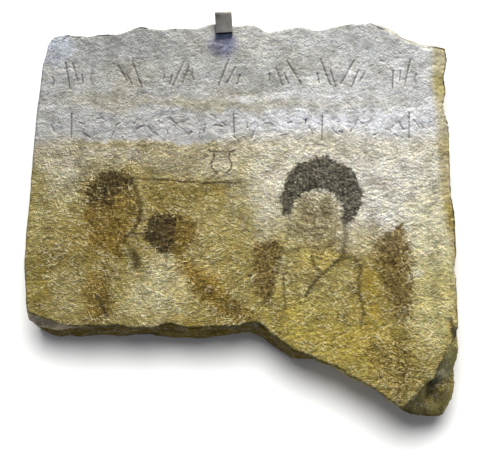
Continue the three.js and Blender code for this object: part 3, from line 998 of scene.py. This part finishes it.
def makeStoneMaterial():
    material, tree, shader, place = newMaterial("paintedLimestone")
    masks = {name: readMask(tree, name) for name in (
        "hair", "umber", "flesh", "brown", "shade", "line", "carved", "paintedReliefLight", "tooled", "broken",
        "leanLevel", "leanDown", "leanUp")}
    noises = {name: noiseValue(tree, place, *sizes) for name, sizes in (
        ("cloudy", (70, 5, 0.62)), ("blots", (190, 4, 0.6)), ("mottled", (310, 3, 0.6)),
        ("dabs", (420, 3, 0.6)), ("fine", (900, 3, 0.7)))}
    ridges = addRidges(tree, place, masks)

    washed = addNode(tree, "ShaderNodeAttribute", attribute_name="wash")
    colour = stainStone(tree, washed.outputs["Color"], masks, noises, ridges)
    colour = paintStone(tree, place, colour, masks, noises, ridges)
    tree.links.new(shadeStone(tree, colour, masks, noises, ridges), shader.inputs["Base Color"])
    tree.links.new(rescale(tree, noises["blots"], 0.3, 0.7, 0.82, 0.97), shader.inputs["Roughness"])
    shader.inputs["Specular IOR Level"].default_value = 0.06

    # ridges and grain on the face, coarser crumbs on the broken sides
    blots = noises["blots"]
    height = calculate(tree, "ADD", ridges, calculate(tree, "MULTIPLY", noises["fine"], 0.8))
    height = calculate(tree, "ADD", height, calculate(tree, "MULTIPLY", blots, 1.2))
    height = calculate(tree, "MULTIPLY", height, masks["tooled"])
    crumbs = calculate(tree, "MULTIPLY", noises["dabs"], 1.4)
    crumbled = calculate(tree, "ADD", calculate(tree, "MULTIPLY", blots, 2.4), crumbs)
    height = calculate(tree, "ADD", height, calculate(tree, "MULTIPLY", crumbled, masks["broken"]))
    addBump(tree, shader, height, 1.3 * mm)
    return material


stone.data.materials.append(makeStoneMaterial())
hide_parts("stone")
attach(stone, "root")
print("stone finished")


# The clip: a bent strip, made again with round bends and worn edges

clipLook = {
    "wide": 16 * mm,
    "thick": 4 * mm,
    "bend": 2.2 * mm,
    "turn": 3.4,  # degrees
    "shift": -0.6 * mm,  # of the strip's top edge from the middle of its box, because it is turned
    "arris": 0.45 * mm,
    "darkSteel": (0.068, 0.066, 0.06, 1),
    "smudgedSteel": (0.105, 0.102, 0.094, 1),
    # paler steel for the end of the lip: wear, and painted sheen
    "wornSheenSteel": (0.37, 0.35, 0.31, 1),
    "scratch": (0.27, 0.265, 0.26, 1),
    # painted shade for the cut end, which faces away from the lamp
    "shadedCutEnd": (0.02, 0.02, 0.02, 1),
}


def makeClip():
    low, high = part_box("clip")
    turn = math.radians(clipLook["turn"])
    wide, thick, top = clipLook["wide"], clipLook["thick"], high[2]
    lip = (high[1] - low[1]) - wide * math.sin(turn)
    pickNothing()
    bpy.ops.mesh.primitive_cube_add(size=1, location=(0, -thick / 2, thick))
    clip = bpy.context.object
    clip.name = "displayClip"
    clip.dimensions = (wide, thick, 2 * thick)
    bpy.ops.object.transform_apply(location=True, scale=True)

    # the arm rises from the wall end to the lip's underside, then one more thickness for the corner
    editOnly(clip, "FACE", [face.normal.z > 0.9 for face in clip.data.polygons])
    bpy.ops.transform.translate(value=(0, 0, top - 3 * thick))
    bpy.ops.mesh.extrude_region_move(TRANSFORM_OT_translate={"value": (0, 0, thick)})
    bpy.ops.object.mode_set(mode="OBJECT")
    forward = [face.normal.y < -0.9 and face.center.z > top - thick for face in clip.data.polygons]
    editOnly(clip, "FACE", forward)
    bpy.ops.mesh.extrude_region_move(TRANSFORM_OT_translate={"value": (0, -(lip - thick), 0)})
    bpy.ops.object.mode_set(mode="OBJECT")

    # round bends at the corner, outside and inside
    corners = ((0.0, top), (-thick, top - thick))

    def alongCorner(edge):
        a, b = (clip.data.vertices[i].co for i in edge.vertices)
        level = abs(a.y - b.y) < 1e-6 and abs(a.z - b.z) < 1e-6
        return level and any(math.hypot(a.y - y, a.z - z) < 1e-5 for y, z in corners)

    editOnly(clip, "EDGE", [alongCorner(edge) for edge in clip.data.edges])
    bpy.ops.mesh.bevel(offset=clipLook["bend"], segments=6, affect="EDGES")

    # turned, and set with its outer top edge where the solid's is
    bpy.ops.mesh.select_all(action="SELECT")
    bpy.ops.transform.rotate(value=-turn, orient_axis="Z", center_override=(0, 0, 0))
    middle = (low[0] + high[0]) / 2 + clipLook["shift"]
    bpy.ops.transform.translate(value=(middle, high[1] - wide / 2 * math.sin(turn), 0))
    bpy.ops.object.mode_set(mode="OBJECT")
    applyModifier(clip, "BEVEL", width=clipLook["arris"], segments=3, limit_method="ANGLE", angle_limit=0.9)
    pick(clip)
    bpy.ops.object.shade_smooth_by_angle(angle=0.6)
    # the cut end, which faces away from the lamp, is marked for painted shade
    onLip = pointsOf(clip)[:, 2] > top - thick
    keepMask(clip, "shadedEnd", smooth((-normalsOf(clip)[:, 1] - 0.5) / 0.4) * onLip)
    return clip


def makeClipMaterial():
    c = clipLook
    material, tree, shader, place = newMaterial("clipSteel")
    stretched = addNode(tree, "ShaderNodeVectorMath", operation="MULTIPLY")
    tree.links.new(place, stretched.inputs[0])
    stretched.inputs[1].default_value = (2600, 180, 180)  # brushed along the strip
    brushed = noiseValue(tree, stretched.outputs[0], 1.0, 3, 0.6)
    smudged = noiseValue(tree, place, 160, 3)
    colour = blendColours(tree, rescale(tree, smudged, 0.3, 0.7), c["darkSteel"], c["smudgedSteel"])

    # paler towards the end of the lip, as wear and as a painted sheen, scratched along the strip, and painted
    # dark as shade on the cut end, which faces away from the lamp
    along = addNode(tree, "ShaderNodeSeparateXYZ")
    tree.links.new(place, along.inputs[0])
    tipWearAndSheen = rescale(tree, along.outputs[1], 0.186, 0.172, 0.0, 0.65)
    colour = blendColours(tree, tipWearAndSheen, colour, c["wornSheenSteel"])
    colour = blendColours(tree, rescale(tree, brushed, 0.45, 0.8, 0.0, 0.5), colour, c["scratch"])
    colour = blendColours(tree, readMask(tree, "shadedEnd"), colour, c["shadedCutEnd"])
    tree.links.new(colour, shader.inputs["Base Color"])
    shader.inputs["Metallic"].default_value = 0.75
    tree.links.new(rescale(tree, smudged, 0.3, 0.7, 0.38, 0.55), shader.inputs["Roughness"])
    addBump(tree, shader, brushed, 0.05 * mm, strength=0.35)
    return material


clip = makeClip()
clip.data.materials.append(makeClipMaterial())
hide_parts("clip")
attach(clip, "root")
print("clip made")


# Floor, lamps and camera

studio = {
    "target": (-0.25 * mm, -21.9 * mm, faceLevel),
    "elevation": 78,
    "distance": 1.0,
    "lens": 81.3,
    "lampTarget": (0, 0, 0.05),
    "floorWide": 6,
    "floorColour": (0.95, 0.85, 0.66, 1),
    "sky": (0.6, 0.7, 1.0, 1),
    "skyStrength": 0.32,
}
# each lamp is so many degrees from straight above, and so many sideways from +Y towards +X
lamps = {
    "floorLamp": {"fromNormal": 14, "sideways": 0, "distance": 1.8, "size": 0.95, "energy": 56,
                  "colour": (0.72, 0.8, 1.0)},
    "stoneLamp": {"fromNormal": 62, "sideways": 8, "distance": 3.2, "size": 1.5, "energy": 190,
                  "colour": (1.0, 0.965, 0.84)},
}


def aim(thing, target):
    direction = np.array(target) - np.array(thing.location)
    flat = math.hypot(direction[0], direction[1])
    thing.rotation_euler = (math.atan2(flat, -direction[2]), 0, math.atan2(-direction[0], direction[1]))


def addLamp(name, lit, fromNormal, sideways, distance, size, energy, colour):
    # a lamp that lights these things alone
    light = bpy.data.lights.new(name, "AREA")
    light.shape = "DISK"
    light.size = size
    light.energy = energy
    light.color = colour
    lamp = bpy.data.objects.new(name, light)
    bpy.context.scene.collection.objects.link(lamp)
    a, b = math.radians(fromNormal), math.radians(sideways)
    lamp.location = (
        distance * math.sin(a) * math.sin(b),
        distance * math.sin(a) * math.cos(b),
        distance * math.cos(a),
    )
    aim(lamp, studio["lampTarget"])
    receivers = bpy.data.collections.new(name + "Receivers")
    for thing in lit:
        receivers.objects.link(thing)
    lamp.light_linking.receiver_collection = receivers


def makeFloor():
    pickNothing()
    bpy.ops.mesh.primitive_plane_add(size=studio["floorWide"], location=(0, 0, -0.1 * mm))
    floor = bpy.context.object
    floor.name = "floor"
    material, _, shader, _ = newMaterial("paleFloor")
    shader.inputs["Base Color"].default_value = studio["floorColour"]
    shader.inputs["Roughness"].default_value = 0.9
    shader.inputs["Specular IOR Level"].default_value = 0.1
    floor.data.materials.append(material)
    return floor


floor = makeFloor()
addLamp("floorLamp", [floor], **lamps["floorLamp"])
addLamp("stoneLamp", [stone, clip], **lamps["stoneLamp"])

world = bpy.data.worlds.new("room")
bpy.context.scene.world = world
world.use_nodes = True
background = world.node_tree.nodes["Background"]
background.inputs["Color"].default_value = studio["sky"]
background.inputs["Strength"].default_value = studio["skyStrength"]

cameraData = bpy.data.cameras.new("camera")
cameraData.lens = studio["lens"]
cameraData.sensor_width = 36
camera = bpy.data.objects.new("camera", cameraData)
bpy.context.scene.collection.objects.link(camera)
rise = math.radians(studio["elevation"])
tx, ty, tz = studio["target"]
camera.location = (tx, ty - studio["distance"] * math.cos(rise), tz + studio["distance"] * math.sin(rise))
camera.rotation_euler = (math.pi / 2 - rise, 0, 0)
bpy.context.scene.camera = camera
bpy.context.scene.view_settings.view_transform = "Standard"
print("studio ready")
